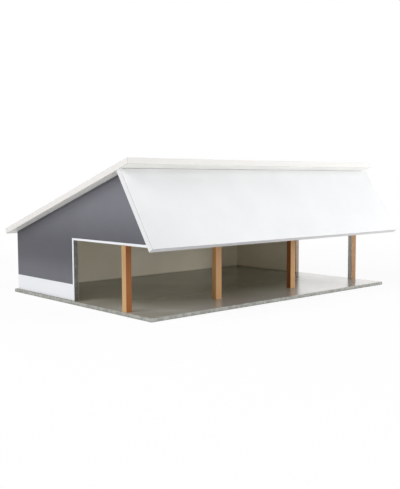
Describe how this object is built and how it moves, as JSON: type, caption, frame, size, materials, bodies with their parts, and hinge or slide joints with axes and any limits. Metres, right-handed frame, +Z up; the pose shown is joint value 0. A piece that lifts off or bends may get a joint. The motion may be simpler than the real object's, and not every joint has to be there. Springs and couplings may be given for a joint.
{
  "type": "toy cattle shed",
  "caption": "Toy farm shed on a base board, with an open post-lined front under a steep white panel, doorways at both ends and a low-pitched roof that lifts off.",
  "frame": {"origin": "middle of the base board's underside, on the surface that the shed stands on", "axes": "+X to the right along the ridge as seen from the open front, +Y from the open front to the back wall, +Z up"},
  "size_m": [0.628, 0.4589, 0.2481],
  "materials": {
    "base_paint": "smooth board, satin concrete-grey paint",
    "wall_paint": "board, dark grey satin paint outside, white plinth band, white inside",
    "white_paint": "board, smooth satin white paint",
    "hardwood": "bare straight-grained reddish-brown hardwood",
    "softwood": "bare planed softwood",
    "beech": "bare beech dowel",
    "zinc_steel": "zinc-plated steel"
  },
  "bodies": {
    "shed": {"base_board": "base_paint", "left_wall": "wall_paint", "right_wall": "wall_paint", "back_wall": "wall_paint", "front_panel": "white_paint", "post_beam": "softwood", "front_post_1": "hardwood", "front_post_2": "hardwood", "front_post_3": "hardwood", "front_post_4": "hardwood", "base_screws": "zinc_steel", "post_dowels": "beech", "beam_dowels": "beech", "back_wall_dowels": "beech", "panel_dowels": "beech"},
    "roof": {"roof_board": "white_paint", "roof_batten_left": "softwood", "roof_batten_right": "softwood", "roof_batten_back": "softwood", "batten_screws": "zinc_steel"}
  },
  "joints": [
    {"name": "roof_lift", "type": "slide", "parent": "shed", "child": "roof", "axis": [0, 0, 1], "range_m": [0, 0.15]}
  ]
}
